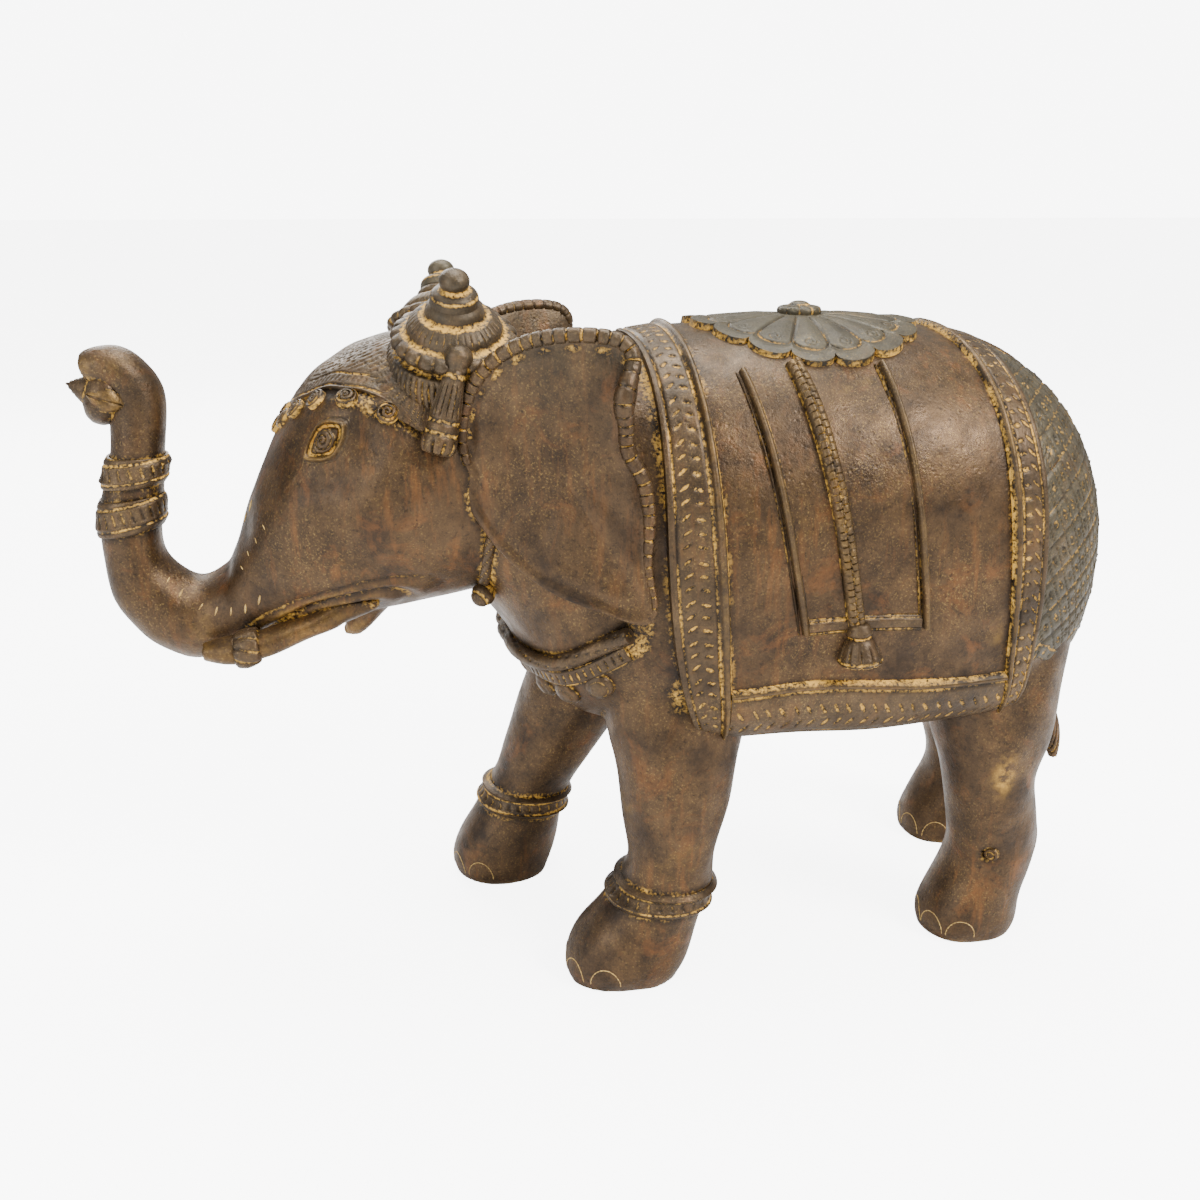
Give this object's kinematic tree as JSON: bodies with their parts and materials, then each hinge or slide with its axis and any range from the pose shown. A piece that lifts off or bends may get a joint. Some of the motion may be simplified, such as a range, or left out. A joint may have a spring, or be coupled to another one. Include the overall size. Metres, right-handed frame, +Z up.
{
  "type": "cast elephant figurine",
  "caption": "Lost-wax brass elephant figurine, walking with its trunk raised, with a chased saddle cloth, collar and anklets; stands free on its soles.",
  "frame": {"origin": "centre of the figure's footprint on the ground plane that its four soles stand on", "axes": "+X from the head to the tail, +Y to the figure's right side, +Z up"},
  "size_m": [0.2905, 0.1102, 0.2016],
  "materials": {
    "brass_patina": "brown patina, worn satin",
    "brass_ochre_recess": "brown patina with ochre left in the chased recesses",
    "brass_verdigris": "grey-green patina, matt",
    "brass_rubbed": "rubbed golden brown, soft shine",
    "clay": "fired clay, matt"
  },
  "bodies": {
    "root": {"torso": "brass_patina", "neck": "brass_patina", "head": "brass_patina", "trunk_lower": "brass_patina", "trunk_upper": "brass_patina", "trunk_ring_lower": "brass_ochre_recess", "trunk_ring_upper": "brass_ochre_recess", "trunk_bud": "brass_patina", "lower_lip": "brass_patina", "leg_front_left": "brass_patina", "leg_front_right": "brass_patina", "leg_rear_left": "brass_patina", "leg_rear_right": "brass_patina", "clay_core": "clay", "core_pin": "brass_ochre_recess", "ear_left": "brass_patina", "ear_right": "brass_patina", "eye_left": "brass_ochre_recess", "eye_right": "brass_ochre_recess", "tusk_left": "brass_rubbed", "tusk_right": "brass_rubbed", "tusk_ferrule_left": "brass_ochre_recess", "tusk_ferrule_right": "brass_ochre_recess", "tusk_cap_left": "brass_rubbed", "tusk_cap_right": "brass_rubbed", "head_cap": "brass_patina", "browband": "brass_ochre_recess", "brow_studs": "brass_ochre_recess", "brow_dome_left": "brass_ochre_recess", "brow_dome_right": "brass_ochre_recess", "dome_finial_left": "brass_verdigris", "dome_finial_right": "brass_verdigris", "ear_drop_left": "brass_ochre_recess", "ear_drop_right": "brass_ochre_recess", "throat_cord": "brass_ochre_recess", "throat_pendants": "brass_ochre_recess", "collar_cord": "brass_ochre_recess", "collar_band": "brass_ochre_recess", "collar_pendants": "brass_ochre_recess", "anklet_left": "brass_ochre_recess", "anklet_right": "brass_ochre_recess", "saddle_cloth": "brass_patina", "cloth_border_front": "brass_ochre_recess", "cloth_border_rear": "brass_ochre_recess", "cloth_border_left": "brass_ochre_recess", "cloth_border_right": "brass_ochre_recess", "panel_rib_left": "brass_ochre_recess", "panel_rib_right": "brass_ochre_recess", "saddle_rosette": "brass_verdigris", "rosette_boss": "brass_verdigris", "bell_cord_left": "brass_ochre_recess", "bell_cord_right": "brass_ochre_recess", "bell_tassel_left": "brass_ochre_recess", "bell_tassel_right": "brass_ochre_recess", "crupper_net": "brass_verdigris", "crupper_strap": "brass_patina", "tail": "brass_patina", "tail_tuft": "brass_patina"}
  },
  "joints": []
}
